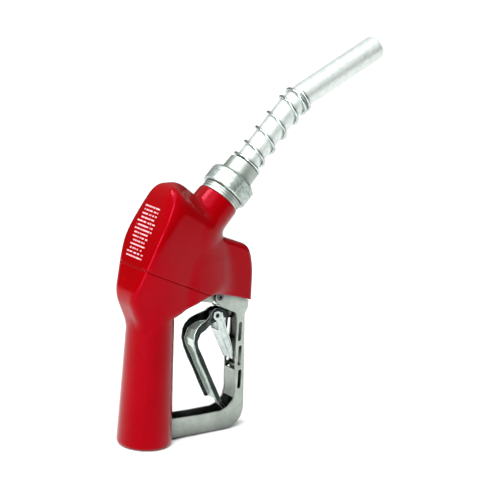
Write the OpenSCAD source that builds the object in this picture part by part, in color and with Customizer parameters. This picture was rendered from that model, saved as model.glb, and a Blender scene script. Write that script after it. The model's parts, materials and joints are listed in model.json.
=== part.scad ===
// Automatic hand nozzle for dispensing fuel, built as separate pieces.
// Origin: centre of the hose inlet face.  +Z runs up the handle, +X points to the front
// (the lever side), and the nozzle is symmetric about the XZ plane.  Sizes are in mm.

/* [Spout] */
// Outside diameter of the spout tube
spout_diameter = 23.8; // [20:0.1:26]
// Wall thickness of the spout tube
spout_wall = 1.2; // [0.8:0.1:2]
// Lean of the neck away from the vertical, in degrees
neck_lean = 44; // [35:1:55]
// Extra lean of the spout after its bend, in degrees
spout_bend = 20.4; // [10:0.1:30]
// Distance along the neck axis from the cover's end to the point of the bend
neck_to_bend = 125.3; // [110:0.1:140]
// Distance from the point of the bend to the tip
bend_to_tip = 110.3; // [95:0.1:125]

/* [Handle and covers] */
// Radius of the grip cover at the inlet end
grip_foot_radius = 26.9; // [24:0.1:30]
// Radius of the grip cover at its upper end
grip_top_radius = 23.2; // [20:0.1:26]
// Wall thickness of the two covers
cover_wall = 3; // [2:0.1:4]
// Gap between the covers and the casting
cover_gap = 0.3; // [0.2:0.1:1]
// Slope of the seam between the covers, in degrees
seam_slope = 22.9; // [15:0.1:30]

/* [Guard and lever] */
// Width of the guard across its two side walls
guard_width = 19.5; // [17:0.1:22]
// Thickness of the guard's walls
guard_wall = 1.8; // [1.5:0.1:2.5]
// Width of the lever across its two flanges
lever_width = 22; // [20:0.1:24]
// Sheet thickness of the lever
lever_wall = 1.8; // [1.2:0.1:2.2]

/* [Inlet] */
// Radius of the wall of the hose inlet thread
inlet_thread_radius = 12.5; // [12:0.1:13]
// Length of the hose inlet thread
inlet_thread_length = 20; // [16:0.5:24]

/* [Hidden] */

$fn = 64;
hull_facets = 28;

red = [0.72, 0.03, 0.09];
cast_grey = [0.62, 0.64, 0.62];
bright_steel = [0.78, 0.79, 0.8];
dark_steel = [0.45, 0.46, 0.48];
brass_yellow = [0.72, 0.58, 0.3];
rubber_black = [0.08, 0.08, 0.08];

// Places shared by several pieces.
neck_end = [72.6, 0, 233.6];
knob_place = [78, 0, 128];
valve_lean = 30;
plunger_x = 91;
pivot = [plunger_x, 0, 121];
rivet_place = [75, 0, 119.2];
spout_radius = spout_diameter / 2;
bend_radius = 90;
bend_start = neck_to_bend - bend_radius * tan(spout_bend / 2);
last_straight = bend_to_tip - bend_radius * tan(spout_bend / 2);
bend_length = bend_radius * spout_bend * PI / 180;
casting_inset = cover_wall + cover_gap;
grip_height = 150;
guard_top = 150;
diaphragm_level = 166.6;
vacuum_face = 172;
half_guard = guard_width / 2;
half_channel = half_guard - guard_wall;

// Stations along the main valve axis, counted from the stem's knob.
throat_start = 34;
seat_start = 46;
seat_height = 5;
chamber_end = 110;
chamber_radius = 14;
stem_radius = 3;
knob_radius = 3.6;
knob_travel = 6.6;
boss_radius = 16;

// Stations along the neck axis, counted from the end of the cover.
collar_length = 7.6;
nut_start = 8;
nut_length = 19;
nut_rim = 23.8;
nut_across_flats = 45.6;
thread_end = 20;
neck_radius = 18;
neck_bore = 15;
adapter_flange = 3.7;
adapter_end = 42;
adapter_foot_radius = 16.9;
adapter_top_radius = 16;

// ---------- frames and shared shapes ----------

// Moves a piece drawn along +Z onto the main valve axis, or onto the neck axis.
module on_valve_axis(station = 0)
    translate(knob_place) rotate([0, -valve_lean, 0]) translate([0, 0, station]) children();

module on_neck_axis(station = 0)
    translate(neck_end) rotate([0, neck_lean, 0]) translate([0, 0, station]) children();

module on_last_straight(station = 0)
    on_neck_axis(bend_start)
        translate([bend_radius * (1 - cos(spout_bend)), 0, bend_radius * sin(spout_bend)])
            rotate([0, spout_bend, 0]) translate([0, 0, station]) children();

// A plate with the given side outline, centred on the XZ plane.
module side_plate(width, middle = 0)
    translate([0, middle + width / 2, 0]) rotate([90, 0, 0]) linear_extrude(width) children();

module ring(outer, inner, height)
    difference() {
        cylinder(r = outer, h = height);
        translate([0, 0, -1]) cylinder(r = inner, h = height + 2);
    }

module torus(mean, wire) rotate_extrude() translate([mean, 0]) circle(wire);

module hexagon_rod(across_flats, height) cylinder(r = across_flats / sqrt(3), h = height, $fn = 6);

// A round wire swept along a path.  Each step is [place, direction away from the coil's axis].
wire_sides = 6;

module swept_wire(steps, wire) {
    last = len(steps) - 1;
    function ahead(i) = steps[min(i + 1, last)][0] - steps[max(i - 1, 0)][0];
    points = [for (i = [0:last])
        let (along = ahead(i) / norm(ahead(i)), up = cross(steps[i][1], along),
             flat = cross(along, up))
        for (k = [0:wire_sides - 1])
            let (a = k * 360 / wire_sides) steps[i][0] + wire * (cos(a) * flat + sin(a) * up)];
    walls = [for (i = [0:last - 1], k = [0:wire_sides - 1], half = [0, 1])
        let (a = i * wire_sides + k, b = i * wire_sides + (k + 1) % wire_sides)
        half == 0 ? [a, b, b + wire_sides] : [a, b + wire_sides, a + wire_sides]];
    first_end = [for (k = [wire_sides - 1:-1:0]) k];
    last_end = [for (k = [0:wire_sides - 1]) last * wire_sides + k];
    polyhedron(points, concat([first_end], walls, [last_end]), convexity = 12);
}

// A compression spring of round wire, standing on the XY plane.
coil_steps = 14;

module coil(mean, wire, height, turns)
    swept_wire([for (i = [0:coil_steps * turns])
        let (a = 360 * i / coil_steps)
        [[mean * cos(a), mean * sin(a), wire + (height - 2 * wire) * i / (coil_steps * turns)],
         [cos(a), sin(a), 0]]], wire);

// A tube that follows the spout from a station on the neck to one on the last straight.
module tube_section(outer, inner)
    difference() {
        circle(outer);
        circle(inner);
    }

module tube_along_spout(outer, inner, start, tip_station, offset = 0) {
    on_neck_axis(start) translate([offset, 0, 0])
        linear_extrude(bend_start - start) tube_section(outer, inner);
    on_neck_axis(bend_start)
        translate([bend_radius, 0, 0]) rotate([0, 0, 180]) rotate([90, 0, 0])
            rotate_extrude(angle = spout_bend) translate([bend_radius - offset, 0])
                tube_section(outer, inner);
    on_last_straight() translate([offset, 0, 0])
        linear_extrude(tip_station) tube_section(outer, inner);
    // A faint swelling where the bend runs out into the last straight.
    on_last_straight(-0.5) translate([offset, 0, 0])
        linear_extrude(1) tube_section(outer + 0.03, inner - 0.03);
}

// ---------- outer form shared by the covers and the casting ----------

// Each point is [x, half spacing in y, z, radius] of a pair of balls.
main_form = [[-14, 4, 147, 18], [-16.5, 14.5, 173, 11], [4, 17, 219, 12], [13, 6, 243, 13],
             [26, 3, 237, 12], [57, 8, 205, 14], [57, 10, 172, 14], [46, 11, 162, 14]];
hump_form = [[101, 8, 176, 9], [101, 8, 130, 9], [76, 8, 186, 9], [66, 10, 145, 9],
             [62, 8, 194, 10]];

module ball_hull(points, inset, facets = hull_facets)
    hull()
        for (p = points, side = [-1, 1])
            translate([p[0], side * p[1], p[2]]) sphere(p[3] - inset, $fn = facets);

module neck_form(inset, past_end = 0)
    on_neck_axis(-45)
        cylinder(r1 = 25 - inset, r2 = 21.4 - inset, h = 45 + past_end);

module grip_form(inset)
    cylinder(r1 = grip_foot_radius - inset, r2 = grip_top_radius - inset, h = grip_height);

// Everything above the lower edge of the upper cover.
module above_lower_edge()
    side_plate(90)
        polygon([[-60, 110], [14, 124], [24, 135], [40, 143], [57, 146.5], [74, 142.8],
                 [88, 139.2], [104, 134.4], [125, 127], [150, 300], [-60, 300]]);

// The half space above the seam between the covers.
module above_seam(gap = 0)
    translate([0, 0, 168.8 + gap]) rotate([0, seam_slope, 0])
        translate([-200, -100, 0]) cube([400, 200, 300]);

// ---------- casting, covers and guard ----------

module inlet_passage() {
    translate([0, 0, -1]) cylinder(r = inlet_thread_radius, h = inlet_thread_length + 1.5);
    translate([0, 0, inlet_thread_length]) cylinder(r = 15.5, h = 100);
    side_plate(30)
        polygon([[-15.5, 118], [15.5, 118], [20, 140], [38, 156], [30, 190], [14, 206],
                 [-3, 206], [-18, 175], [-23, 150]]);
}

module outlet_passage() {
    on_valve_axis(throat_start) cylinder(r = 9, h = 20);
    side_plate(24)
        polygon([[60, 158], [72, 162], [74, 170], [74, 196], [80, 222], [62, 226], [58, 208],
                 [70, 184], [70, 178], [62, 166]]);
    on_neck_axis(-22) cylinder(r = neck_bore, h = 60);
}

module valve_chamber() {
    on_valve_axis(seat_start) cylinder(r = chamber_radius, h = chamber_end - seat_start + 30);
    on_valve_axis(throat_start - 8) cylinder(r = 5, h = 10);
    on_valve_axis(5) cylinder(r = stem_radius + 0.05, h = 30);
    on_valve_axis(-1) cylinder(r = knob_radius + 0.3, h = 2 * knob_radius + knob_travel + 1.8);
}

module plunger_chamber() {
    translate([plunger_x, 0, 110]) cylinder(r = 7, h = 50);
    translate([plunger_x, 0, 159]) cylinder(r = 8.6, h = 20);
    translate([plunger_x, 0, diaphragm_level - 0.05]) cylinder(r = 10.6, h = 40);
}

guard_screw_place = [74.4, 138.6];
front_pin_place = [101, 139];
front_pin_radius = 1.2;

chamber_half_width = 60;

module casting_body()
    difference() {
        ball_hull(main_form, casting_inset);
        on_valve_axis(chamber_end) cylinder(r = chamber_half_width, h = chamber_half_width);
        translate([36, -40, 100]) cube([60, 80, guard_top + 0.6 - 100]);
    }

// The round boss round the stem, cut back on both sides for the guard's walls.
module casting_boss()
    difference() {
        on_valve_axis(throat_start - 12) cylinder(r = 15, h = 20);
        for (side = [-1, 1])
            translate([70.5, side * (half_channel - 0.2 + 10) - 10, 100])
                cube([30, 20, guard_top + 0.6 - 100]);
    }

module casting_hump()
    difference() {
        ball_hull(hump_form, casting_inset);
        translate([40, -40, 60]) cube([100, 80, guard_top + 0.6 - 60]);
        translate([plunger_x - 14.5, -40, vacuum_face]) cube([60, 80, 60]);
    }

// A flat pad under the body, just behind the stem.
module casting_pad()
    side_plate(16)
        polygon([[49, 138.5], [51, 136.6], [67, 133], [69, 134.5], [69, guard_top],
                 [52, guard_top]]);

module casting_tongue()
    side_plate(2 * half_channel - 0.4)
        polygon([[60, 158], [62, 146], [69, 134.5], [83, 134.5], [84, 129.5],
                 [103.7, 129.5], [103.7, 158]]);

module body_casting() color(cast_grey)
    difference() {
        union() {
            grip_form(casting_inset);
            casting_body();
            casting_hump();
            casting_pad();
            casting_tongue();
            on_neck_axis(-40) cylinder(r1 = 21, r2 = neck_radius + 0.2, h = 38);
            on_neck_axis(-10) cylinder(r = neck_radius, h = thread_end + 10);
            on_valve_axis(seat_start - 6)
                cylinder(r = boss_radius, h = chamber_end - seat_start + 6);
            casting_boss();
            translate([8, -8, 3]) cube([16, 16, 18]);
        }
        inlet_passage();
        outlet_passage();
        valve_chamber();
        plunger_chamber();
        for (side = [-1, 1])
            translate([guard_screw_place[0], side * 4.6, guard_screw_place[1]])
                rotate([-90 * side, 0, 0]) cylinder(r = 2.05, h = 10);
        translate([front_pin_place[0], 20, front_pin_place[1]]) rotate([90, 0, 0])
            cylinder(r = front_pin_radius + 0.05, h = 40);
        translate([16.5, 0, 12]) rotate([0, 90, 0]) cylinder(r = 2.55, h = 12);
        for (p = vacuum_screw_places)
            translate([p[0], p[1], 164]) cylinder(r = 1.05, h = 12);
    }

module guard_opening_in_covers()
    translate([14, -half_guard - 0.4, -1]) cube([30, guard_width + 0.8, 26]);

module body_cover() color(red)
    difference() {
        intersection() {
            union() {
                ball_hull(main_form, 0);
                ball_hull(hump_form, 0);
                neck_form(0);
            }
            above_lower_edge();
            above_seam(0.15);
        }
        ball_hull(main_form, cover_wall);
        ball_hull(hump_form, cover_wall, hull_facets - 2);
        neck_form(cover_wall, 1);
        on_valve_axis(throat_start - 14) cylinder(r = boss_radius + cover_gap, h = 40);
    }

module grip_cover() color(red)
    difference() {
        union() {
            grip_form(0);
            intersection() {
                ball_hull(main_form, 0);
                above_lower_edge();
            }
        }
        above_seam(-0.15);
        ball_hull(main_form, cover_wall);
        grip_form(cover_wall);
        translate([0, 0, -1]) cylinder(r = grip_foot_radius - cover_wall, h = 1.5);
        guard_opening_in_covers();
    }

guard_front = [[24.4, 2.5], [92, 1.6], [99, 2.7], [105.5, 6], [110, 11], [112.3, 18], [112.4, 26],
               [107, 117], [110.4, 124], [110.6, 131], [106.2, 133], [106.2, guard_top]];
guard_head = [[72, guard_top], [71.6, 141], [71.2, 133], [77.7, 128.1]];
guard_inner_low = [[24.4, 22], [59, 20.4], [85, 20.4], [93, 23], [99.5, 29], [101.6, 38]];

module guard_side_outline()
    difference() {
        polygon([for (p = guard_front) p, for (p = guard_head) p,
                 [96, 119.6], [98, 113], [98.2, 87], [101.6, 38],
                 for (i = [4:-1:0]) guard_inner_low[i]]);
        for (w = [[102.4, 89.9, 109.6], [103.9, 64.5, 85.3], [105.4, 40.5, 60.3]])
            hull_slot(w[0], w[1], w[2], 2);
    }

module hull_slot(x, low, high, half) {
    translate([x - half, low + half]) square([2 * half, high - low - 2 * half]);
    translate([x, low + half]) circle(half);
    translate([x, high - half]) circle(half);
}

// The web closes the channel along its outer side.
module guard_web_outline() {
    polygon([for (p = guard_front) p, [104, guard_top], [104, 130], [104.3, 117], [109.8, 26],
             [109.8, 18.6], [107.8, 12.4], [104, 8.2], [98.3, 5.3], [92, 4.2], [28, 5],
             [28, 22], [24.4, 22]]);
}

// A plate inside the lower part of the front bar, just behind its inner rim.
module guard_inner_plate_outline()
    polygon([[100.4, 31.5], [101.9, 38], [100.2, 60], [102.2, 60], [103.9, 38], [102.4, 31.5]]);

module lever_guard() color(cast_grey)
    difference() {
        union() {
            for (side = [-1, 1])
                side_plate(guard_wall, side * (half_guard - guard_wall / 2)) guard_side_outline();
            side_plate(guard_width - 1) guard_web_outline();
            side_plate(guard_width - 1) guard_inner_plate_outline();
            for (z = [62.4, 87.6])
                translate([104.5, -half_guard + 1, z - 1.2]) cube([4, guard_width - 2, 2.4]);
            for (side = [-1, 1])
                translate([guard_screw_place[0], side * (half_guard - 0.5), guard_screw_place[1]])
                    rotate([-90 * side, 0, 0]) cylinder(r = 5.4, h = 1.3);
        }
        for (side = [-1, 1])
            translate([guard_screw_place[0], 0, guard_screw_place[1]])
                rotate([-90 * side, 0, 0]) cylinder(r = 3.6, h = 20);
        translate([front_pin_place[0], 20, front_pin_place[1]]) rotate([90, 0, 0])
            cylinder(r = front_pin_radius + 0.05, h = 40);
        translate([20, 0, 12]) rotate([0, 90, 0]) cylinder(r = 2.7, h = 12);
        translate([100, -4.2, 17.5]) cube([20, 8.4, 13]);
    }

module guard_head_screws() color(dark_steel)
    for (side = [-1, 1])
        translate([guard_screw_place[0], side * 4.8, guard_screw_place[1]])
            rotate([-90 * side, 0, 0]) difference() {
                union() {
                    cylinder(r = 2, h = 3.6);
                    translate([0, 0, 3.1]) cylinder(r = 3.5, h = 3.2);
                }
                translate([0, 0, 4.2]) hexagon_rod(3, 3);
            }

module guard_front_pin() color(bright_steel)
    translate([front_pin_place[0], half_guard - 0.3, front_pin_place[1]]) rotate([90, 0, 0])
        cylinder(r = front_pin_radius, h = guard_width - 0.6);

module guard_heel_screw() color(bright_steel)
    translate([17, 0, 12]) rotate([0, 90, 0]) difference() {
        union() {
            cylinder(r = 2.5, h = 12);
            translate([0, 0, 11.05]) cylinder(r = 4.25, h = 4.5);
        }
        translate([0, 0, 13]) hexagon_rod(4, 4);
    }

// ---------- spout end ----------

module neck_collar() color(cast_grey)
    on_neck_axis(0.2) difference() {
        cylinder(r = 20.4, h = collar_length - 0.4);
        translate([0, 0, -1]) cylinder(r = neck_radius + 0.05, h = 20);
        for (h = [2.2, 4.6])
            translate([0, 0, h]) ring(22, 20, 0.6);
    }

module spout_nut() color(bright_steel)
    on_neck_axis(nut_start) difference() {
        intersection() {
            rotate_extrude()
                polygon([[0, 0], [nut_rim - 1.3, 0], [nut_rim, 1.3], [nut_rim, 10],
                         [nut_rim - 0.6, 10.3], [nut_rim - 0.6, 10.9], [nut_rim, 11.2],
                         [nut_rim, 15.5], [nut_rim - 4.1, nut_length], [0, nut_length]]);
            union() {
                hexagon_rod(nut_across_flats, 2 * nut_length);
                cylinder(r = nut_rim - 0.4, h = 11.2);
            }
        }
        translate([0, 0, -1]) cylinder(r = neck_radius + 0.06, h = thread_end - nut_start + 5);
        cylinder(r = adapter_foot_radius + 0.3, h = 2 * nut_length);
    }

module spout_adapter() color(cast_grey)
    on_neck_axis() difference() {
        union() {
            translate([0, 0, -13]) cylinder(r = neck_bore - 0.1, h = 34);
            translate([0, 0, thread_end + 0.1]) cylinder(r = 17.9, h = adapter_flange);
            translate([0, 0, 21])
                cylinder(r1 = adapter_foot_radius, r2 = adapter_top_radius, h = adapter_end - 21);
        }
        translate([0, 0, 14]) cylinder(r = spout_radius + 0.05, h = 40);
        translate([0, 0, -14]) cylinder(r = 10.9, h = 30);
        translate([0, 0, -14]) cylinder(r = 12.9, h = 5);
        for (h = [-5, 6])
            translate([0, 0, h]) torus(neck_bore - 0.1, 1.2);
        translate([12, -2, adapter_end - 6]) cube([8, 4, 10]);
    }

module adapter_o_rings() color(rubber_black)
    on_neck_axis()
        for (h = [-5, 6])
            translate([0, 0, h]) intersection() {
                torus(neck_bore - 0.1, 1.15);
                translate([0, 0, -3]) cylinder(r = neck_bore - 0.02, h = 6);
            }

vent_offset = 7.4;
vent_radius = 2.2;

module spout_tube() color(bright_steel)
    difference() {
        union() {
            tube_along_spout(spout_radius, spout_radius - spout_wall, 14.1, last_straight - 1);
            on_last_straight(last_straight - 1) difference() {
                cylinder(r1 = spout_radius, r2 = spout_radius - 0.8, h = 1);
                translate([0, 0, -1]) cylinder(r = spout_radius - spout_wall, h = 3);
            }
        }
        on_last_straight(last_straight - 18)
            rotate([0, 90, 0]) cylinder(r = 2.6, h = 20);
    }

module vent_tube() color(bright_steel)
    tube_along_spout(vent_radius, vent_radius - 0.6, 16, last_straight - 22, vent_offset);

module vent_port() color(brass_yellow)
    on_last_straight(last_straight - 21.9) difference() {
        union() {
            translate([vent_offset, 0, 0]) cylinder(r = 2.9, h = 7);
            translate([vent_offset - 1, 0, 3.9]) rotate([0, 90, 0])
                cylinder(r = 2.5, h = spout_radius - vent_offset + 0.8);
        }
        translate([vent_offset, 0, -1]) cylinder(r = 1.5, h = 5);
        translate([vent_offset, 0, 3.9]) rotate([0, 90, 0]) cylinder(r = 1.5, h = 10);
    }

// Wire spring wound round the spout: wide at its foot, then open turns, then a closed loop.
spring_wire = 1.65;
spring_clearance = 0.1;
spring_foot_spread = 1.6;
spring_start = adapter_end + spring_wire + spring_clearance;
// Station of the wire at each of these turns, counted from its foot at the front.
spring_stations = [[0, spring_start], [0.5, 45], [1.5, 60], [2.5, 78], [3.5, 97], [4.5, 117],
                   [5.5, 127.4], [6.5, 131]];
spring_turns = 6.4;
spring_steps = 22;

// Place of the spout's centre line and its lean at a station, in the neck's own frame.
function spout_lean(s) = max(0, min(1, (s - bend_start) / bend_length)) * spout_bend;
function spout_centre(s) =
    s < bend_start ? [0, 0, s] :
    let (lean = spout_lean(s), past = max(0, s - bend_start - bend_length))
    [bend_radius * (1 - cos(lean)) + past * sin(lean), 0,
     bend_start + bend_radius * sin(lean) + past * cos(lean)];
function spring_station(turn) = lookup(turn, spring_stations);
function spring_radius(turn) =
    spout_radius + spring_wire + spring_clearance + spring_foot_spread * max(0, 1 - turn);
function spring_centre(turn) =
    let (s = spring_station(turn), lean = spout_lean(s), c = spout_centre(s),
         r = spring_radius(turn), a = -360 * turn)
    [c[0] + r * cos(a) * cos(lean), r * sin(a), c[2] - r * cos(a) * sin(lean)];
function spring_out(turn) =
    let (lean = spout_lean(spring_station(turn)), a = -360 * turn)
    [cos(a) * cos(lean), sin(a), -cos(a) * sin(lean)];

module spout_spring() color(bright_steel)
    on_neck_axis()
        swept_wire([for (i = [0:floor(spring_turns * spring_steps)])
            [spring_centre(i / spring_steps), spring_out(i / spring_steps)]], spring_wire);

module check_seat() color(brass_yellow)
    on_neck_axis(-12.9) difference() {
        cylinder(r = 12.85, h = 3.8);
        translate([0, 0, -1]) cylinder(r = 7.5, h = 10);
        translate([0, 0, 2]) cylinder(r1 = 7.5, r2 = 9.5, h = 2);
    }

module check_valve() color(brass_yellow)
    on_neck_axis(-8.8) {
        cylinder(r = 9.2, h = 2);
        cylinder(r = 3.8, h = 5);
        cylinder(r = 2, h = 24);
    }

module check_guide() color(brass_yellow)
    on_neck_axis(11.6) difference() {
        cylinder(r = 10.85, h = 2);
        translate([0, 0, -1]) cylinder(r = 2.06, h = 4);
        for (turn = [0:60:300])
            rotate([0, 0, turn]) translate([7, 0, -1]) cylinder(r = 2.6, h = 4);
    }

module check_spring() color(bright_steel)
    on_neck_axis(-6.7) coil(5, 0.6, 18.2, 5);

// ---------- inlet and main valve ----------

module inlet_strainer() color(bright_steel)
    translate([0, 0, inlet_thread_length + 2]) difference() {
        union() {
            cylinder(r = 15.3, h = 2);
            cylinder(r1 = 12, r2 = 8, h = 26);
        }
        translate([0, 0, -1]) cylinder(r1 = 11.2, r2 = 7.2, h = 26);
        for (z = [7, 13, 19], turn = [0:45:135])
            translate([0, 0, z]) rotate([90, 0, turn])
                translate([0, 0, -20]) cylinder(r = 1.7, h = 40, $fn = 16);
    }

module valve_seat() color(brass_yellow)
    on_valve_axis(seat_start + 0.1) ring(chamber_radius - 0.1, 8.8, seat_height - 0.1);

module poppet() color(brass_yellow)
    on_valve_axis(seat_start + seat_height) {
        translate([0, 0, 2]) cylinder(r = 11.4, h = 3);
        translate([0, 0, 4.5]) cylinder(r = 5, h = 10);
        translate([0, 0, -3]) cylinder(r = 5, h = 6);
    }

module poppet_seal() color(rubber_black)
    on_valve_axis(seat_start + seat_height + 0.02) ring(11, 5.02, 1.96);

module poppet_spring() color(bright_steel)
    on_valve_axis(seat_start + seat_height + 5.1) coil(7.4, 0.9, 51.7, 6);

module poppet_cap() color(brass_yellow)
    on_valve_axis(chamber_end) difference() {
        union() {
            translate([0, 0, -9]) cylinder(r = chamber_radius - 0.1, h = 10);
            translate([0, 0, 0.1]) cylinder(r = boss_radius, h = 5);
            translate([0, 0, 5]) hexagon_rod(22, 6);
        }
        translate([0, 0, -5]) torus(chamber_radius - 0.1, 1.1);
        translate([0, 0, -10]) cylinder(r = 9, h = 8);
    }

module cap_o_ring() color(rubber_black)
    on_valve_axis(chamber_end - 5) intersection() {
        torus(chamber_radius - 0.1, 1.05);
        translate([0, 0, -3]) cylinder(r = chamber_radius - 0.02, h = 6);
    }

module valve_stem() color(bright_steel)
    on_valve_axis() {
        translate([0, 0, knob_radius]) sphere(knob_radius);
        translate([0, 0, 3]) cylinder(r = stem_radius, h = seat_start + seat_height - 6.1);
    }

module stem_packing() color(rubber_black)
    on_valve_axis(throat_start - 7.9) ring(4.95, stem_radius + 0.03, 3.8);

module packing_gland() color(brass_yellow)
    on_valve_axis(throat_start - 4) difference() {
        union() {
            cylinder(r = 4.95, h = 4.5);
            translate([0, 0, 4.1]) hexagon_rod(12, 4);
        }
        translate([0, 0, -1]) cylinder(r = stem_radius + 0.05, h = 20);
    }

// ---------- trip and vacuum latch ----------

vacuum_screw_radius = 12.2;
vacuum_screw_places = [for (a = [45:90:315])
    [plunger_x + vacuum_screw_radius * cos(a), vacuum_screw_radius * sin(a)]];

module trip_plunger() color(bright_steel)
    difference() {
        union() {
            side_plate(7) {
                translate([pivot[0], pivot[2]]) circle(5.2);
                translate([pivot[0] - 5.2, pivot[2]]) square([10.4, 6.5]);
            }
            translate([plunger_x, 0, 127.2]) cylinder(r = 5.2, h = 28.8);
            translate([plunger_x, 0, 152]) cylinder(r = 6.6, h = 4);
        }
        translate([plunger_x, 0, 142]) cylinder(r = 2.7, h = 20);
        translate([pivot[0], 20, pivot[2]]) rotate([90, 0, 0]) cylinder(r = 2.5, h = 40);
        for (a = [0:120:240])
            translate([plunger_x, 0, 149]) rotate([0, 90, a + 60]) cylinder(r = 1.65, h = 20);
    }

module plunger_bushing() color(brass_yellow)
    translate([plunger_x, 0, 129.6]) ring(6.95, 5.26, 9);

module plunger_spring() color(bright_steel)
    translate([plunger_x, 0, 138.8]) coil(6, 0.45, 13, 4);

module latch_balls() color(dark_steel)
    for (a = [0:120:240])
        translate([plunger_x, 0, 149]) rotate([0, 0, a + 60]) translate([3.9, 0, 0]) sphere(1.55);

module latch_pin() color(bright_steel)
    translate([plunger_x, 0, 144.5]) cylinder(r = 2.2, h = 26);

module diaphragm() color(rubber_black)
    translate([plunger_x, 0, diaphragm_level]) rotate_extrude()
        polygon([[2.25, -1.8], [6, -1.8], [8.8, 0], [10.5, 0], [10.5, 1], [8.5, 1], [5.7, -0.8],
                 [2.25, -0.8]]);

module diaphragm_plates() color(dark_steel)
    translate([plunger_x, 0, diaphragm_level]) {
        translate([0, 0, -2.7]) ring(5.5, 2.22, 0.85);
        translate([0, 0, -0.75]) ring(5.3, 2.22, 0.85);
    }

module diaphragm_spring() color(bright_steel)
    translate([plunger_x, 0, diaphragm_level + 0.2]) coil(4.2, 0.4, 8.4, 3);

module vacuum_cap() color(cast_grey)
    translate([plunger_x, 0, 0]) difference() {
        union() {
            translate([0, 0, diaphragm_level + 1.1]) cylinder(r = 10.5, h = 7);
            translate([0, 0, vacuum_face + 0.1]) cylinder(r = 13.4, h = 4);
        }
        translate([0, 0, diaphragm_level]) cylinder(r = 7, h = 8.7);
        for (p = vacuum_screw_places)
            translate([p[0] - plunger_x, p[1], 160]) cylinder(r = 1.1, h = 40);
    }

module vacuum_cap_screws() color(dark_steel)
    for (p = vacuum_screw_places)
        translate([p[0], p[1], 0]) {
            translate([0, 0, 166]) cylinder(r = 1, h = 11);
            translate([0, 0, 176.15]) cylinder(r = 1.6, h = 1.4);
        }

// ---------- lever and hold-open clip ----------

// The lever's channel opens towards the hand's palm.  The web follows its concave side.
lever_top = [[66, 118.4], [60, 118.2], [53, 115], [47.4, 110], [44.4, 104], [43.8, 96.5],
             [45.6, 88.5], [49.5, 80.5]];
lever_bottom = [[85.6, 30.6], [65.6, 66.9], [52.6, 90], [50.9, 94], [50.7, 98], [52, 101.5],
                [55, 104.6], [70, 110.2]];
lever_web_inside = [[70, 112.4], [54, 106.4], [50.6, 103], [48.9, 98.2], [49.1, 93.6],
                    [51, 89.2], [64, 66], [84, 29.7]];

module lever_outline()
    polygon([for (p = lever_top) p, [60.3, 61.4], [78, 29.2], for (p = lever_bottom) p,
             [70, 118.8]]);

module lever_web_outline()
    polygon([for (p = lever_web_inside) p, for (p = lever_bottom) p]);

module lever_head_outline() {
    difference() {
        union() {
            translate([pivot[0], pivot[2]]) circle(5.6);
            polygon([[62, 112], [64, 118.6], [70, 122], [74, 125.8], [82, 125.8], [87, 122.5],
                     [91, 126.4], [91, 115.5], [80, 112.4], [70, 109.5]]);
        }
        translate([pivot[0], pivot[2]]) circle(2.55);
        translate([rivet_place[0], rivet_place[2]]) circle(2.05);
    }
}

module lever() color(bright_steel) {
    head_width = 10.4;
    side_plate(lever_width - 0.1) lever_web_outline();
    for (side = [-1, 1]) {
        side_plate(lever_wall, side * (lever_width - lever_wall) / 2) lever_outline();
        side_plate(1.5, side * (head_width - 1.5) / 2) lever_head_outline();
        side_plate((lever_width - head_width) / 2 + 1.4,
                   side * ((lever_width + head_width) / 4 - 0.6))
            polygon([[66.4, 110], [66.4, 118.4], [68.2, 118.6], [68.2, 110]]);
    }
    side_plate(head_width - 0.2) polygon([[72.5, 124], [73.6, 125.8], [81, 125.8], [81, 123]]);
    side_plate(7) polygon([[84.6, 29.4], [88.2, 24], [98.4, 15.2], [99.6, 16.6], [89.8, 25.2],
                           [86.6, 30.6], [80, 42], [78.6, 41]]);
}

module lever_pin() color(dark_steel)
    translate([pivot[0], 0, pivot[2]]) rotate([90, 0, 0])
        translate([0, 0, -6.4]) cylinder(r = 2.46, h = 12.8);

module clip_arm_outline()
    difference() {
        union() {
            translate([rivet_place[0], rivet_place[2]]) circle(5);
            polygon([[71.5, 115.6], [76.5, 106.5], [96.4, 71.6], [100, 72.4], [95.2, 87],
                     [84, 108.5], [79.6, 121.2]]);
        }
        translate([rivet_place[0], rivet_place[2]]) circle(2.05);
    }

module hold_open_clip() color(bright_steel) {
    for (side = [-1, 1])
        side_plate(1.3, side * 6.15) clip_arm_outline();
    side_plate(13.4) polygon([[77.2, 105.4], [96.4, 71.6], [98, 72], [78.6, 106.2]]);
}

module clip_rivet() color(bright_steel)
    translate([rivet_place[0], 0, rivet_place[2]]) rotate([90, 0, 0]) {
        translate([0, 0, -7.1]) cylinder(r = 2, h = 14.2);
        for (end = [-7.4, 6.85])
            translate([0, 0, end]) cylinder(r = 3.2, h = 0.55);
    }

module clip_spring() color(dark_steel)
    translate([rivet_place[0], 3.2, rivet_place[2]]) rotate([90, 0, 0]) coil(3, 0.45, 6.4, 5);

body_casting();
body_cover();
grip_cover();
lever_guard();
guard_head_screws();
guard_front_pin();
guard_heel_screw();
neck_collar();
spout_nut();
spout_adapter();
adapter_o_rings();
spout_tube();
spout_spring();
vent_tube();
vent_port();
check_seat();
check_valve();
check_guide();
check_spring();
inlet_strainer();
valve_seat();
poppet();
poppet_seal();
poppet_spring();
poppet_cap();
cap_o_ring();
valve_stem();
stem_packing();
packing_gland();
trip_plunger();
plunger_bushing();
plunger_spring();
latch_balls();
latch_pin();
diaphragm();
diaphragm_plates();
diaphragm_spring();
vacuum_cap();
vacuum_cap_screws();
lever();
lever_pin();
hold_open_clip();
clip_rivet();
clip_spring();
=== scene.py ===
import json
import math

import bpy
import numpy as np
from mathutils import Matrix, Vector


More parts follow.
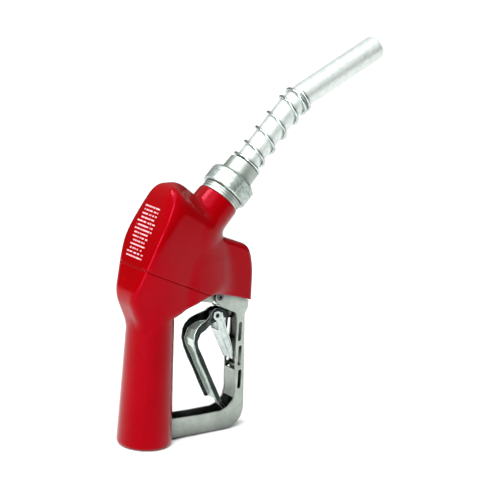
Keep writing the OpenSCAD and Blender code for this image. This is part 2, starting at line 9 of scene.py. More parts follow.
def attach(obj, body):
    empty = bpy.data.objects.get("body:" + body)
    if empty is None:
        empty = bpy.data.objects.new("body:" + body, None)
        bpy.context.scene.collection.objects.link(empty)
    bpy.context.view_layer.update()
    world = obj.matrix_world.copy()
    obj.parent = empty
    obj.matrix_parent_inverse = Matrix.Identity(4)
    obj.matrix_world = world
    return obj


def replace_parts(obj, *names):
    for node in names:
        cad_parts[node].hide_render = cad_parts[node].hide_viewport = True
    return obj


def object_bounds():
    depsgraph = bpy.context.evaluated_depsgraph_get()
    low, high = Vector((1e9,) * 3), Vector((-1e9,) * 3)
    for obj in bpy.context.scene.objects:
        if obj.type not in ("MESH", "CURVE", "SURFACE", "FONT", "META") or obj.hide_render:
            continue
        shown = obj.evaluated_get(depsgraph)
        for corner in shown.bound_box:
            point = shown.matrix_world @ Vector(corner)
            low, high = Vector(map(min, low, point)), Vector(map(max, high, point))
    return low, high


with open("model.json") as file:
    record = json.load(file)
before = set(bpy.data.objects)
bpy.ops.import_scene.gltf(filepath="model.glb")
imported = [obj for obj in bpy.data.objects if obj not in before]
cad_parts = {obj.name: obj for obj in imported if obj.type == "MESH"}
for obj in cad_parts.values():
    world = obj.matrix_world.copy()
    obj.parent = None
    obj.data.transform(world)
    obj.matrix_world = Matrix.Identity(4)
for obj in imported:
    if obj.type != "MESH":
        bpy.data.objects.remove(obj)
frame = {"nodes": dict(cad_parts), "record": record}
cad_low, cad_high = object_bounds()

NODES = frame["nodes"]
MM = 0.001

# ---------------------------------------------------------------------------
# Fields: each takes an array of points in mm and gives a signed distance, negative inside.
# ---------------------------------------------------------------------------


def smooth_max(a, b, k):
    """The larger of two fields, with the edge between them rounded over about k."""
    h = np.clip(0.5 + 0.5 * (a - b) / k, 0.0, 1.0)
    return b * (1 - h) + a * h + k * h * (1 - h)


def smooth_min(a, b, k):
    return -smooth_max(-a, -b, k)


def plane(points, normal, through):
    """Distance above a plane.  The y of every point counts as its distance from the middle."""
    n = np.array(normal, float)
    n /= np.linalg.norm(n)
    return (n[0] * (points[..., 0] - through[0])
            + n[1] * (np.abs(points[..., 1]) - through[1])
            + n[2] * (points[..., 2] - through[2]))


def convex(points, planes, k):
    field = plane(points, *planes[0])
    for normal, through in planes[1:]:
        field = smooth_max(field, plane(points, normal, through), k)
    return field


def outline(points, corners):
    """Signed distance in the side view (x, z) from a closed outline."""
    x, z = points[..., 0], points[..., 2]
    nearest = np.full(x.shape, 1e9)
    inside = np.zeros(x.shape, bool)
    for (ax, az), (bx, bz) in zip(corners, corners[1:] + corners[:1]):
        ex, ez = bx - ax, bz - az
        t = np.clip(((x - ax) * ex + (z - az) * ez) / (ex * ex + ez * ez), 0, 1)
        nearest = np.minimum(nearest, np.hypot(x - ax - t * ex, z - az - t * ez))
        crosses = (az > z) != (bz > z)
        side = x < ax + ex * (z - az) / (ez if ez else 1e-9)
        inside ^= crosses & side
    return np.where(inside, -nearest, nearest)


def capsule_outline(points, start, end, radius):
    x, z = points[..., 0], points[..., 2]
    ex, ez = end[0] - start[0], end[1] - start[1]
    t = np.clip(((x - start[0]) * ex + (z - start[1]) * ez) / (ex * ex + ez * ez), 0, 1)
    return np.hypot(x - start[0] - t * ex, z - start[1] - t * ez) - radius


def along_y(points, centre_x, centre_z, radius):
    return np.hypot(points[..., 0] - centre_x, points[..., 2] - centre_z) - radius


def slab(points, inner, outer):
    """Between two distances from the middle plane."""
    y = np.abs(points[..., 1])
    return np.maximum(y - outer, inner - y)


# ---------------------------------------------------------------------------
# From a field to a mesh
# ---------------------------------------------------------------------------


def grid_values(field, low, high, cell):
    axes = [np.arange(low[i] - cell, high[i] + 2 * cell, cell) for i in range(3)]
    xs, ys, zs = np.meshgrid(*axes, indexing="ij")
    points = np.stack([xs, ys, zs], axis=-1)
    return points, field(points)


def net_corners(points, values):
    """For every cell that the surface passes through, the mean of its edge crossings."""
    shape = tuple(n - 1 for n in values.shape)
    total = np.zeros(shape + (3,))
    count = np.zeros(shape)
    steps = [np.array(s) for s in np.ndindex(2, 2, 2)]

    def block(array, step):
        return array[tuple(slice(s, s + n) for s, n in zip(step, shape))]

    for axis in range(3):
        for step in steps:
            if step[axis]:
                continue
            other = step.copy()
            other[axis] = 1
            a, b = block(values, step), block(values, other)
            crossing = (a < 0) != (b < 0)
            t = np.where(crossing, a / np.where(crossing, a - b, 1.0), 0.0)[..., None]
            place = block(points, step) * (1 - t) + block(points, other) * t
            total += place * crossing[..., None]
            count += crossing
    used = count > 0
    index = np.full(shape, -1)
    index[used] = np.arange(used.sum())
    return total[used] / count[used][:, None], index


def net_faces(values, index):
    """One quad round every grid edge that crosses the surface."""
    faces = []
    for axis in range(3):
        u, v = (axis + 1) % 3, (axis + 2) % 3
        first = [slice(1, -1)] * 3
        second = [slice(1, -1)] * 3
        first[axis] = slice(0, -1)
        second[axis] = slice(1, None)
        va, vb = values[tuple(first)], values[tuple(second)]
        where = np.argwhere((va < 0) != (vb < 0))
        rising = (va < 0)[tuple(where.T)]
        base = where.copy()
        base[:, u] += 1
        base[:, v] += 1
        quad = []
        for du, dv in ((1, 1), (0, 1), (0, 0), (1, 0)):
            at = base.copy()
            at[:, u] -= du
            at[:, v] -= dv
            quad.append(index[tuple(at.T)])
        quad = np.stack(quad, axis=1)
        quad[~rising] = quad[~rising][:, ::-1]
        faces.append(quad)
    return np.concatenate(faces)


def pull_onto(field, corners, cell, rounds=3):
    """Moves corners onto the surface along the field's slope."""
    reach = 0.25 * cell
    for _ in range(rounds):
        slope = np.stack([(field(corners + reach * e) - field(corners - reach * e)) / (2 * reach)
                          for e in np.eye(3)], axis=-1)
        value = field(corners)[:, None]
        move = -value * slope / np.maximum((slope ** 2).sum(1, keepdims=True), 0.2)
        corners = corners + np.clip(move, -cell * 0.5, cell * 0.5)
    return corners


def mesh_object(name, corners, faces, material, smooth=True):
    mesh = bpy.data.meshes.new(name)
    mesh.from_pydata([tuple(c) for c in corners], [], [tuple(int(i) for i in f) for f in faces])
    mesh.update()
    obj = bpy.data.objects.new(name, mesh)
    bpy.context.scene.collection.objects.link(obj)
    mesh.materials.append(material)
    if smooth:
        mesh.shade_smooth()
    return obj


def solid(name, field, low, high, cell, material):
    """A closed mesh of everything inside the field, in metres."""
    points, values = grid_values(field, low, high, cell)
    corners, index = net_corners(points, values)
    faces = net_faces(values, index)
    corners = pull_onto(field, corners, cell)
    return mesh_object(name, corners * MM, faces, material)


# ---------------------------------------------------------------------------
# Materials
# ---------------------------------------------------------------------------


class Nodes:
    """A small helper round one material's shader nodes."""

    def __init__(self, name):
        self.material = bpy.data.materials.new(name)
        self.material.use_nodes = True
        self.tree = self.material.node_tree
        self.shader = self.tree.nodes["Principled BSDF"]
        self.place = self.tree.nodes.new("ShaderNodeTexCoord").outputs["Object"]

    def new(self, kind, **values):
        node = self.tree.nodes.new(kind)
        for key, value in values.items():
            if hasattr(node, key):
                setattr(node, key, value)
            else:
                self.put(node.inputs[key.replace("_", " ")], value)
        return node

    def put(self, socket, value):
        if isinstance(value, bpy.types.NodeSocket):
            self.tree.links.new(value, socket)
        else:
            socket.default_value = value

    def noise(self, scale, detail=4.0, roughness=0.55, stretch=None):
        place = self.place
        if stretch:
            mapping = self.new("ShaderNodeMapping")
            self.put(mapping.inputs["Vector"], self.place)
            mapping.inputs["Scale"].default_value = stretch
            place = mapping.outputs["Vector"]
        node = self.new("ShaderNodeTexNoise")
        self.put(node.inputs["Vector"], place)
        node.inputs["Scale"].default_value = scale
        node.inputs["Detail"].default_value = detail
        node.inputs["Roughness"].default_value = roughness
        return node.outputs["Fac"]

    def ramp(self, value, low, high, out_low=0.0, out_high=1.0, clamp=True):
        node = self.new("ShaderNodeMapRange")
        node.clamp = clamp
        self.put(node.inputs["Value"], value)
        for key, number in (("From Min", low), ("From Max", high), ("To Min", out_low), ("To Max", out_high)):
            node.inputs[key].default_value = number
        return node.outputs["Result"]

    def math(self, operation, a, b=0.0, c=0.0):
        node = self.new("ShaderNodeMath")
        node.operation = operation
        for socket, value in zip(node.inputs, (a, b, c)):
            self.put(socket, value)
        return node.outputs["Value"]

    def mix(self, factor, a, b):
        node = self.new("ShaderNodeMix")
        node.data_type = "RGBA"
        self.put(node.inputs["Factor"], factor)
        self.put(node.inputs["A"], a)
        self.put(node.inputs["B"], b)
        return node.outputs["Result"]

    def bump(self, height, distance, strength=1.0, below=None):
        node = self.new("ShaderNodeBump")
        self.put(node.inputs["Height"], height)
        node.inputs["Distance"].default_value = distance
        node.inputs["Strength"].default_value = strength
        if below is not None:
            self.put(node.inputs["Normal"], below)
        return node.outputs["Normal"]

    def set(self, **values):
        for key, value in values.items():
            self.put(self.shader.inputs[key.replace("_", " ")], value)
        return self.material


def colour(red, green, blue):
    """A linear colour from 0 to 255 screen values."""
    def linear(v):
        v /= 255
        return v / 12.92 if v <= 0.04045 else ((v + 0.055) / 1.055) ** 2.4
    return (linear(red), linear(green), linear(blue), 1.0)


LABEL_ROWS = 14
LABEL_LOW, LABEL_HIGH = 0.1855, 0.2345
LABEL_MIDDLE = 0.0015
LABEL_HALF_WIDTH = 0.0148
LABEL_BAR_HALF_HEIGHT = 0.19    # of a row
LABEL_GAPS_BELOW = 0.40
LABEL_FACE_BEFORE_X = 0.004
LABEL_STRENGTH = 0.6


def label_bars(m):
    """Rows of plain broken bars on the cover's back face: one where printed, else zero."""
    split = m.new("ShaderNodeSeparateXYZ")
    m.put(split.inputs["Vector"], m.place)
    x, y, up = split.outputs
    across = m.math("SUBTRACT", y, LABEL_MIDDLE)
    row = m.ramp(up, LABEL_LOW, LABEL_HIGH, 0.0, LABEL_ROWS, clamp=False)
    number = m.math("FLOOR", row)
    in_row = m.math("FRACT", row)
    step = m.new("ShaderNodeCombineXYZ")
    m.put(step.inputs["X"], number)
    ragged = m.new("ShaderNodeTexWhiteNoise").outputs["Value"]
    m.put(ragged.node.inputs["Vector"], step.outputs["Vector"])
    half = m.ramp(ragged, 0.0, 1.0, LABEL_HALF_WIDTH * 0.6, LABEL_HALF_WIDTH)
    along_row = m.new("ShaderNodeCombineXYZ")
    m.put(along_row.inputs["X"], m.math("MULTIPLY", across, 520.0))
    m.put(along_row.inputs["Y"], m.math("MULTIPLY", number, 7.3))
    gaps = m.new("ShaderNodeTexNoise")
    m.put(gaps.inputs["Vector"], along_row.outputs["Vector"])
    gaps.inputs["Scale"].default_value = 1.0
    gaps.inputs["Detail"].default_value = 0.0
    printed = m.math("GREATER_THAN", gaps.outputs["Fac"], LABEL_GAPS_BELOW)
    from_middle = m.math("ABSOLUTE", m.math("SUBTRACT", in_row, 0.5))
    tests = [
        m.math("LESS_THAN", from_middle, LABEL_BAR_HALF_HEIGHT),
        m.math("LESS_THAN", m.math("ABSOLUTE", across), half),
        m.math("COMPARE", number, (LABEL_ROWS - 1) / 2, LABEL_ROWS / 2),
        m.math("LESS_THAN", x, LABEL_FACE_BEFORE_X),
    ]
    for test in tests:
        printed = m.math("MULTIPLY", printed, test)
    return printed


def red_vinyl():
    """Dipped glossy vinyl: even red, a soft orange-peel skin and a few faint rubs."""
    m = Nodes("red_vinyl")
    patches = m.ramp(m.noise(14.0, 3.0), 0.3, 0.7)
    base = m.mix(patches, colour(115, 0, 2), colour(125, 0, 4))
    rubs = m.ramp(m.noise(90.0, 6.0, 0.7, (1.0, 1.0, 0.25)), 0.62, 0.8)
    base = m.mix(m.math("MULTIPLY", rubs, 0.1), base, colour(214, 30, 44))
    base = m.mix(m.math("MULTIPLY", label_bars(m), LABEL_STRENGTH), base, colour(226, 186, 194))
    skin = m.bump(m.noise(420.0, 2.0), 0.00005, 0.35)
    slow = m.bump(m.noise(26.0, 2.0), 0.0006, 0.25, skin)
    rough = m.ramp(m.noise(60.0, 5.0), 0.3, 0.75, 0.13, 0.22)
    return m.set(Base_Color=base, Roughness=rough, Normal=slow, IOR=1.45,
                 Specular_IOR_Level=0.4, Specular_Tint=(1.0, 0.06, 0.16, 1.0))


def cast_aluminium():
    """Sand-cast and tumbled aluminium: warm grey and pitted, with painted shade darkening it in crevices,
    recesses and between parts.
    """
    m = Nodes("cast_aluminium")
    cloud = m.ramp(m.noise(45.0, 6.0, 0.6), 0.35, 0.68)
    base = m.mix(cloud, colour(143, 152, 144), colour(171, 179, 172))
    pits = m.ramp(m.noise(520.0, 3.0, 0.6), 0.28, 0.36)
    base = m.mix(pits, colour(122, 130, 123), base)
    grain = m.bump(m.noise(650.0, 4.0, 0.7), 0.00010, 0.4)
    slow = m.bump(m.noise(90.0, 3.0), 0.0005, 0.3, grain)
    # Painted shade: ambient occlusion pulls the colour towards near black wherever nearby surfaces close in.
    painted_shade_ao = m.new("ShaderNodeAmbientOcclusion")
    painted_shade_ao.inputs["Distance"].default_value = 0.03
    base = m.mix(m.ramp(painted_shade_ao.outputs["AO"], 0.35, 0.85), colour(34, 37, 35), base)
    rough = m.ramp(m.noise(120.0, 4.0), 0.3, 0.7, 0.34, 0.5)
    return m.set(Base_Color=base, Metallic=0.8, Roughness=rough, Normal=slow)


def plain_metal(name, light, dark, rough_low, rough_high, scale=160.0, depth=0.00006,
                stretch=None, metallic=1.0):
    """A worn metal: two tones in fine streaks or clouds, uneven polish and small dents."""
    m = Nodes(name)
    streak = m.noise(scale, 5.0, 0.6, stretch)
    base = m.mix(m.ramp(streak, 0.34, 0.66), dark, light)
    scratch = m.bump(m.noise(scale * 3, 4.0, 0.65, stretch), depth, 0.5)
    slow = m.bump(m.noise(70.0, 2.0), 0.0003, 0.2, scratch)
    rough = m.ramp(m.noise(scale * 0.6, 4.0), 0.3, 0.7, rough_low, rough_high)
    return m.set(Base_Color=base, Metallic=metallic, Roughness=rough, Normal=slow)


def plate_with_painted_dark_sides():
    """Pressed and plated sheet: bright across its width, with a painted dark reflection on the faces that
    look sideways along y.
    """
    m = Nodes("chrome_plate")
    split = m.new("ShaderNodeSeparateXYZ")
    m.put(split.inputs["Vector"], m.new("ShaderNodeNewGeometry").outputs["Normal"])
    # Painted reflection: faces whose normal points along y get a near-black colour for the dark surroundings
    # they mirror, and they are made more metallic.
    painted_reflection_mask = m.ramp(m.math("ABSOLUTE", split.outputs["Y"]), 0.55, 0.92)
    cloud = m.ramp(m.noise(120.0, 5.0, 0.6), 0.34, 0.66)
    bright = m.mix(cloud, colour(170, 190, 181), colour(206, 217, 209))
    painted_dark_reflection = m.mix(cloud, colour(30, 35, 35), colour(48, 55, 54))
    # Random patches where the painted dark reflection gives way to the bright plate.
    worn = m.ramp(m.noise(260.0, 6.0, 0.7), 0.6, 0.74, 0.0, 0.35)
    base = m.mix(painted_reflection_mask, bright, m.mix(worn, painted_dark_reflection, bright))
    scratch = m.bump(m.noise(420.0, 4.0, 0.65), 0.00003, 0.4)
    slow = m.bump(m.noise(70.0, 2.0), 0.0003, 0.2, scratch)
    rough = m.ramp(m.noise(80.0, 4.0), 0.3, 0.7, 0.10, 0.22)
    metal = m.ramp(painted_reflection_mask, 0.0, 1.0, 0.55, 1.0)
    return m.set(Base_Color=base, Metallic=metal, Roughness=rough, Normal=slow)


def cast_zinc():
    """The nut's bright, lightly blasted finish."""
    return plain_metal("cast_zinc", colour(176, 186, 180), colour(134, 146, 142), 0.26, 0.4,
                       260.0, 0.00008, metallic=0.75)


def black_rubber():
    m = Nodes("black_rubber")
    base = m.mix(m.noise(220.0), colour(16, 16, 17), colour(38, 38, 40))
    return m.set(Base_Color=base, Roughness=m.ramp(m.noise(150.0), 0.3, 0.7, 0.5, 0.75),
                 Normal=m.bump(m.noise(700.0), 0.0001, 0.4))


MATERIALS = {
    "red_vinyl": red_vinyl(),
    "cast_aluminium": cast_aluminium(),
    "satin_aluminium": plain_metal("satin_aluminium", colour(214, 221, 217),
                                   colour(197, 205, 201), 0.34, 0.46, 240.0, metallic=0.65),
    "plated_steel": plain_metal("plated_steel", colour(196, 206, 202), colour(158, 168, 166),
                                0.14, 0.28, 200.0),
    "chrome_plate": plate_with_painted_dark_sides(),
    "dark_steel": plain_metal("dark_steel", colour(92, 94, 96), colour(58, 60, 62), 0.3, 0.5),
    "brass": plain_metal("brass", colour(206, 170, 96), colour(176, 138, 70), 0.22, 0.38),
    "black_rubber": black_rubber(),
}


# ---------------------------------------------------------------------------
# Red covers
# ---------------------------------------------------------------------------

NECK_END = np.array([72.6, 0.0, 233.6])
NECK_LEAN = math.radians(44.0)
NECK_WAY = np.array([math.sin(NECK_LEAN), 0.0, math.cos(NECK_LEAN)])
SEAM_SLOPE = math.tan(math.radians(22.9))
SEAM_ON_AXIS = 168.8
SEAM_GAP = 0.03
COVER_WALL = 3.0
NECK_OUTSIDE = 21.4
NECK_TAPER = 0.03
NECK_BORE = 18.3
GRIP_FOOT_RADIUS = 26.9
GRIP_TAPER = 3.9
GRIP_TAPER_HEIGHT = 118
GRIP_TOP = 146
GUARD_OPENING_HALF_WIDTH = 10.2
GUARD_OPENING_TOP = 25.2
GUARD_OPENING_START = 12

MAIN_PLANES = [
    ((-0.954, 0, 0.300), (-29.5, 0, 165)),    # back, where the label is
    ((-0.880, 0, 0.475), (-7.6, 0, 225)),     # back, near the top
    ((-0.50, 0, 0.866), (6, 0, 253.2)),       # back corner of the top
    ((0.10, 0, 0.995), (16, 0, 257.0)),       # top
    ((0.499, 0.535, 0.681), (22, 0, 256.8)),  # slopes down to the neck
    ((1, 0, 0), (76, 0, 170)),                # front, inside the hump
    ((-0.906, 0, -0.42), (-28.4, 0, 137)),    # lower back, above the grip
    ((0.40, 0, -0.917), (24, 0, 133)),        # underside
    ((0.07, 1, -0.03), (-2, 29, 222)),        # sides
    ((-0.30, 0.954, -0.16), (-26.2, 22.2, 175)),   # lower bevel beside the label
    ((-0.562, 0.676, 0.476), (-14.6, 28.6, 208)),  # chamfer beside the top of the label
    ((0.10, 0.975, 0.20), (5, 24.8, 245)),         # upper sides lean in
]
FRONT_CORNER = ((0.79, 0.61, 0), (66.8, 24, 200))
HUMP_PLANES = [
    ((1, 0, 0), (110, 0, 150)),
    ((0.33, 0, 0.944), (96, 0, 190.8)),
    ((0.92, 0, 0.38), (107.8, 0, 177.5)),
    ((0.02, 1, 0.03), (95, 16.6, 165)),
    ((-1, 0, 0), (40, 0, 160)),
]
# Height of the covers' lower edge at each place from back to front.
LOWER_EDGE_X = [-50, 12, 15.2, 18.5, 23.3, 31.7, 40.3, 47.9, 56.5, 62.5, 73.6, 88.3, 103.6, 120]
LOWER_EDGE_Z = [60, 119, 125.9, 130.3, 135.1, 139.3, 142.8, 145.3, 146.2, 145.9, 142.7, 139.2,
                134.5, 129]


def neck_field(points):
    offset = points - NECK_END
    station = offset @ NECK_WAY
    radius = np.linalg.norm(offset - station[..., None] * NECK_WAY, axis=-1)
    field = smooth_max(radius - (NECK_OUTSIDE - NECK_TAPER * station), station, 1.6)
    return smooth_max(field, -45 - station, 8.0)


def grip_field(points, bottom=True):
    radius = np.hypot(points[..., 0], points[..., 1])
    z = points[..., 2]
    wall = radius - (GRIP_FOOT_RADIUS - GRIP_TAPER * z / GRIP_TAPER_HEIGHT)
    field = smooth_max(wall, z - GRIP_TOP, 6.0)
    return smooth_max(field, -z, 4.5) if bottom else field


def head_field(points):
    main = smooth_max(convex(points, MAIN_PLANES, 7.0), plane(points, *FRONT_CORNER), 20.0)
    hump = convex(points, HUMP_PLANES, 6.0)
    blend = np.interp(points[..., 2], [150, 178, 200], [20.0, 14.0, 5.0])
    field = smooth_min(main, hump, blend)
    return smooth_min(field, neck_field(points), 5.0)


def covers_field(points):
    head = head_field(points)
    outer = smooth_min(head, grip_field(points), 3.0)
    hollow = smooth_min(head, grip_field(points, bottom=False), 3.0) + COVER_WALL
    edge = (np.interp(points[..., 0], LOWER_EDGE_X, LOWER_EDGE_Z) - points[..., 2]) * 0.93
    trimmed = smooth_min(smooth_max(head, edge, 1.2), grip_field(points), 3.0)
    past_neck = (points - NECK_END) @ NECK_WAY + 2.0
    hollow = np.minimum(hollow, np.maximum(
        np.linalg.norm(points - NECK_END - past_neck[..., None] * NECK_WAY
                       + 2.0 * NECK_WAY, axis=-1) - NECK_BORE, -past_neck - 8))
    return smooth_max(np.maximum(trimmed, outer), -hollow, 0.9)


def seam_height(points):
    return points[..., 2] - (SEAM_ON_AXIS - SEAM_SLOPE * points[..., 0])


def body_cover_field(points):
    return smooth_max(covers_field(points), (SEAM_GAP - seam_height(points)) * 0.92, 0.3)


def grip_cover_field(points):
    field = smooth_max(covers_field(points), (seam_height(points) + SEAM_GAP) * 0.92, 0.3)
    x, y, z = points[..., 0], np.abs(points[..., 1]), points[..., 2]
    opening = np.maximum(y - GUARD_OPENING_HALF_WIDTH, z - GUARD_OPENING_TOP)
    opening = np.maximum(opening, GUARD_OPENING_START - x)
    return smooth_max(field, -opening, 1.2)


COVER_CELL = 1.15
body_cover = solid("body_cover_skin", body_cover_field, (-34, -31, 128), (113, 31, 259),
                   COVER_CELL, MATERIALS["red_vinyl"])
grip_cover = solid("grip_cover_skin", grip_cover_field, (-34, -30, -1), (62, 30, 186),
                   COVER_CELL, MATERIALS["red_vinyl"])
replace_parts(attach(body_cover, "nozzle"), "body_cover")
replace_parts(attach(grip_cover, "nozzle"), "grip_cover")


# ---------------------------------------------------------------------------
# Lever: a pressed channel, open to the palm, that narrows to two ears at its pivot
# ---------------------------------------------------------------------------

PIVOT = (91.0, 121.0)
RIVET = (75.0, 119.2)
LEVER_HALF_WIDTH = 11.0
LEVER_WALL = 1.8
EAR_OUTSIDE = 5.3
EAR_INSIDE = 3.75
NARROWING_START = 58.0
NARROWING_LENGTH = 15.0
TOE_HALF_WIDTH = 3.6
PIVOT_BORE = 2.55
RIVET_BORE = 2.05
LEVER_FREE_EDGE = [(60.5, 118.0), (53.5, 115.0), (48.3, 110.4), (45.6, 104.6), (45.0, 96.2),
                   (48.2, 86.4), (54.4, 73.8), (60.0, 64.5), (69.8, 45.6), (78.4, 30.6)]
LEVER_WEB_EDGE = [(85.1, 30.5), (79.5, 41.0), (72.9, 53.1), (65.4, 66.8), (58.9, 79.5),
                  (52.4, 90.6), (50.8, 97.1), (54.0, 104.2), (62.0, 108.0), (72.0, 110.6)]
LEVER_EARS = [(64, 108.6), (72, 110.6), (80, 112.4), (91, 115.6), (95.4, 118.4), (95.8, 122.4),
              (92.6, 126.2), (88, 123.4), (82, 126), (74, 126), (69, 122.6), (60.5, 118)]
LEVER_TOE = [(83.6, 31.4), (87.4, 24.6), (97.8, 15.4), (99.6, 17.2), (90.2, 26), (86.4, 32)]


def lever_field(points):
    x, y = points[..., 0], np.abs(points[..., 1])
    narrowing = np.clip((x - NARROWING_START) / NARROWING_LENGTH, 0, 1)
    narrowing = narrowing * narrowing * (3 - 2 * narrowing)
    low_part = points[..., 2] < 100
    narrowing = np.where(low_part & (x < 100), 0.0, narrowing)
    half = LEVER_HALF_WIDTH + (EAR_OUTSIDE - LEVER_HALF_WIDTH) * narrowing
    wall = LEVER_WALL + (EAR_OUTSIDE - EAR_INSIDE - LEVER_WALL) * narrowing
    channel = outline(points, LEVER_FREE_EDGE + LEVER_WEB_EDGE)
    ears = outline(points, LEVER_EARS)
    side = np.minimum(channel, ears)
    block = smooth_max(side, y - half, 2.2)
    behind_web = outline(points, LEVER_WEB_EDGE + [(100, 112), (140, 112), (140, 20), (92, 20)])
    hollow = smooth_max(LEVER_WALL - behind_web, y - (half - wall), 1.6)
    open_ears = np.maximum(np.maximum(y - EAR_INSIDE, 68.5 - x), points[..., 2] - 124.2)
    hollow = np.minimum(hollow, np.maximum(open_ears, 100 - points[..., 2]))
    plate = smooth_max(block, -hollow, 0.9)
    bores = np.minimum(along_y(points, *PIVOT, PIVOT_BORE), along_y(points, *RIVET, RIVET_BORE))
    plate = smooth_max(plate, -bores, 0.3)
    toe = smooth_max(outline(points, LEVER_TOE), y - TOE_HALF_WIDTH, 1.0)
    return smooth_min(plate, toe, 1.2)


LEVER_CELL = 0.55
lever = solid("lever_skin", lever_field, (43, -12, 13), (101, 12, 130), LEVER_CELL,
              MATERIALS["chrome_plate"])
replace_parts(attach(lever, "lever"), "lever")


# ---------------------------------------------------------------------------
# Hold-open clip: a folded sheet with a raised strip down each side
# ---------------------------------------------------------------------------

CLIP_SIDE = [(76.8, 108.2), (79.2, 101.0), (96.0, 71.6), (98.6, 71.6), (100.0, 74.0),
             (95.4, 88.0), (86.0, 110.0), (81.4, 122.0), (79.5, 121.8)]


def clip_field(points):
    y = np.abs(points[..., 1])
    ear = along_y(points, *RIVET, 4.9)
    side = smooth_min(outline(points, CLIP_SIDE), ear, 1.5)
    cheeks = smooth_max(side, np.abs(y - 6.1) - 0.6, 0.4)
    strip = capsule_outline(points, (75.6, 118.0), (91.6, 85.4), 2.7)
    strip = smooth_min(strip, along_y(points, *RIVET, 4.7), 2.0)
    raised = smooth_max(strip, np.abs(y - 6.9) - 0.6, 0.5)
    web = smooth_max(capsule_outline(points, (79.0, 103.0), (97.0, 72.4), 0.75), y - 6.6, 0.5)
    field = np.minimum(np.minimum(cheeks, raised), web)
    return smooth_max(field, -along_y(points, *RIVET, RIVET_BORE), 0.3)


CLIP_CELL = 0.45
clip = solid("clip_skin", clip_field, (69, -8.5, 69), (102, 8.5, 126), CLIP_CELL,
             MATERIALS["plated_steel"])
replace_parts(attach(clip, "clip"), "hold_open_clip")


# ---------------------------------------------------------------------------
# Spout spring: one smooth wire, from its foot in the adapter's slot to its closed loop
# ---------------------------------------------------------------------------

SPOUT_RADIUS = 11.9
SPOUT_BEND = math.radians(20.4)
BEND_RADIUS = 90.0
BEND_START = 125.3 - BEND_RADIUS * math.tan(SPOUT_BEND / 2)
WIRE = 1.65
SPRING_CLEARANCE = 0.1
FOOT_SPREAD = 1.6
STEPS_PER_TURN = 26
SPRING_TURNS = [0, 0.5, 1.5, 2.5, 3.5, 4.5, 5.5, 6.4]
SPRING_STATIONS = [43.75, 45.0, 60.0, 78.0, 97.0, 117.0, 127.4, 130.7]
NECK_ACROSS = np.array([math.cos(NECK_LEAN), 0.0, -math.sin(NECK_LEAN)])


def spout_frame(station):
    """Centre of the spout and its forward and upward directions, at a station on the neck."""
    lean = min(max((station - BEND_START) / (BEND_RADIUS * SPOUT_BEND), 0), 1) * SPOUT_BEND
    past = max(0.0, station - BEND_START - BEND_RADIUS * SPOUT_BEND)
    if station < BEND_START:
        across, along = 0.0, station
    else:
        across = BEND_RADIUS * (1 - math.cos(lean)) + past * math.sin(lean)
        along = BEND_START + BEND_RADIUS * math.sin(lean) + past * math.cos(lean)
    centre = NECK_END + across * NECK_ACROSS + along * NECK_WAY
    forward = NECK_WAY * math.cos(lean) + NECK_ACROSS * math.sin(lean)
    outward = NECK_ACROSS * math.cos(lean) - NECK_WAY * math.sin(lean)
    return centre, forward, outward


def spring_point(turn):
    station = np.interp(turn, SPRING_TURNS, SPRING_STATIONS)
    centre, forward, outward = spout_frame(station)
    reach = SPOUT_RADIUS + WIRE + SPRING_CLEARANCE + FOOT_SPREAD * max(0, 1 - turn)
    angle = -2 * math.pi * turn
    return centre + reach * (math.cos(angle) * outward + math.sin(angle) * np.array([0, 1.0, 0]))


def add_spring():
    count = int(SPRING_TURNS[-1] * STEPS_PER_TURN)
    path = [spring_point(i / STEPS_PER_TURN) for i in range(count + 1)]
    foot = spring_point(0) - 5.0 * NECK_WAY - 0.6 * NECK_ACROSS
    path.insert(0, foot)
    curve = bpy.data.curves.new("spout_spring_wire", "CURVE")
    curve.dimensions = "3D"
    curve.bevel_depth = WIRE * MM
    curve.bevel_resolution = 4
    curve.use_fill_caps = True
    spline = curve.splines.new("NURBS")
    spline.points.add(len(path) - 1)
    for point, place in zip(spline.points, path):
        point.co = (*(place * MM), 1.0)
    spline.order_u = 4
    spline.use_endpoint_u = True
    spline.resolution_u = 3
    curve.materials.append(MATERIALS["plated_steel"])
    wire = bpy.data.objects.new("spout_spring_wire", curve)
    bpy.context.scene.collection.objects.link(wire)
    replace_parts(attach(wire, "nozzle"), "spout_spring")


add_spring()


# ---------------------------------------------------------------------------
# Finishes on the CAD pieces that stay
# ---------------------------------------------------------------------------

FINISH_OF_NODE = {"spout_nut": cast_zinc()}

for part in frame["record"]["subparts"]:
    node = NODES[part["node"]]
    if node.hide_render:
        continue
    node.data.materials.clear()
    finish = FINISH_OF_NODE.get(part["node"], MATERIALS[part["material_slot"]])
    node.data.materials.append(finish)


# ---------------------------------------------------------------------------
# Studio
# ---------------------------------------------------------------------------


def add_light(name, place, aim, size, power):
    data = bpy.data.lights.new(name, "AREA")
    data.shape = "RECTANGLE"
    data.size, data.size_y = size
    data.energy = power
    light = bpy.data.objects.new(name, data)
    light.location = place
    light.rotation_mode = "QUATERNION"
    light.rotation_quaternion = (Vector(aim) - Vector(place)).to_track_quat("-Z", "Y")
    bpy.context.scene.collection.objects.link(light)


def add_floor():
    m = Nodes("studio_floor")
    paper = m.mix(m.noise(3.0), (0.90, 0.90, 0.90, 1), (0.93, 0.93, 0.93, 1))
    m.set(Base_Color=paper, Roughness=0.9)
    reach = 6.0    # metres each way
    corners = [(-reach, -reach, 0), (reach, -reach, 0), (reach, reach, 0), (-reach, reach, 0)]
    floor = mesh_object("studio_floor", corners, [(0, 1, 2, 3)], m.material, smooth=False)
    floor.location.z = cad_low[2] - 0.0005


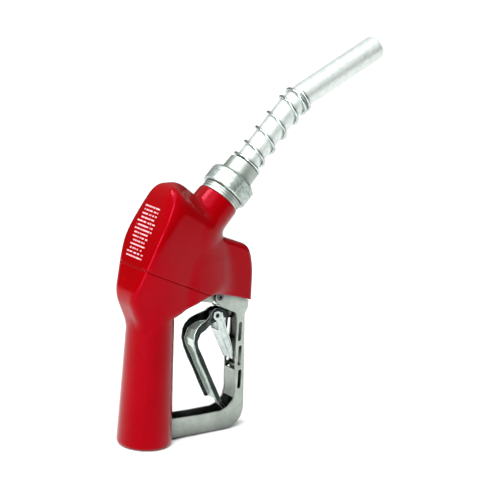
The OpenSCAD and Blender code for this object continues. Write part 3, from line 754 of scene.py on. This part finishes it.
def add_world():
    """Bright overhead and dim round the horizon, so upright polished faces reflect dark."""
    world = bpy.data.worlds.new("studio")
    world.use_nodes = True
    tree = world.node_tree
    way = tree.nodes.new("ShaderNodeTexCoord").outputs["Generated"]
    split = tree.nodes.new("ShaderNodeSeparateXYZ")
    tree.links.new(way, split.inputs["Vector"])
    height = tree.nodes.new("ShaderNodeMapRange")
    height.interpolation_type = "SMOOTHSTEP"
    tree.links.new(split.outputs["Z"], height.inputs["Value"])
    for key, number in (("From Min", 0.1), ("From Max", 0.75), ("To Min", 0.07), ("To Max", 0.74)):
        height.inputs[key].default_value = number
    background = tree.nodes["Background"]
    background.inputs["Color"].default_value = (1, 1, 1, 1)
    tree.links.new(height.outputs["Result"], background.inputs["Strength"])
    bpy.context.scene.world = world


def add_sun(name, towards, strength, spread):
    data = bpy.data.lights.new(name, "SUN")
    data.energy = strength
    data.angle = math.radians(spread)
    light = bpy.data.objects.new(name, data)
    light.rotation_mode = "QUATERNION"
    light.rotation_quaternion = Vector(towards).to_track_quat("-Z", "Y")
    bpy.context.scene.collection.objects.link(light)


CAMERA_AIM = (0.060, 0.0, 0.190)
CAMERA_DISTANCE = 1.8


def add_camera():
    """From behind and to the side, a little above the handle, and tilted."""
    turn, rise, roll = math.radians(-38), math.radians(14.6), math.radians(3.5)
    back = Vector((math.sin(turn) * math.cos(rise), -math.cos(turn) * math.cos(rise),
                   math.sin(rise)))
    level = Vector((math.cos(turn), math.sin(turn), 0))
    up = back.cross(level)
    right = level * math.cos(roll) + up * math.sin(roll)
    up = up * math.cos(roll) - level * math.sin(roll)
    data = bpy.data.cameras.new("camera")
    data.sensor_width = 36.0
    data.lens = 141.2
    data.shift_x = 0.0729
    data.shift_y = 0.0097
    data.clip_start, data.clip_end = 0.05, 60
    camera = bpy.data.objects.new("camera", data)
    camera.rotation_mode = "QUATERNION"
    camera.rotation_quaternion = Matrix((right, up, back)).transposed().to_quaternion()
    camera.location = Vector(CAMERA_AIM) + back * CAMERA_DISTANCE
    bpy.context.scene.collection.objects.link(camera)
    bpy.context.scene.camera = camera


add_floor()
add_world()
add_camera()
add_sun("overhead", (0.35, 0.25, -1.0), 1.7, 40)
BODY_MIDDLE = (0.03, 0, 0.21)
add_light("above_neck", (-0.62, 0.30, 1.55), (0.06, 0, 0.23), (0.5, 0.5), 14)
add_light("left_strip", (-0.75, -0.52, 0.38), BODY_MIDDLE, (0.2, 0.75), 9)
add_light("front_above", (-0.73, -1.09, 1.34), BODY_MIDDLE, (0.4, 0.35), 8)
bpy.context.scene.view_settings.view_transform = "Standard"
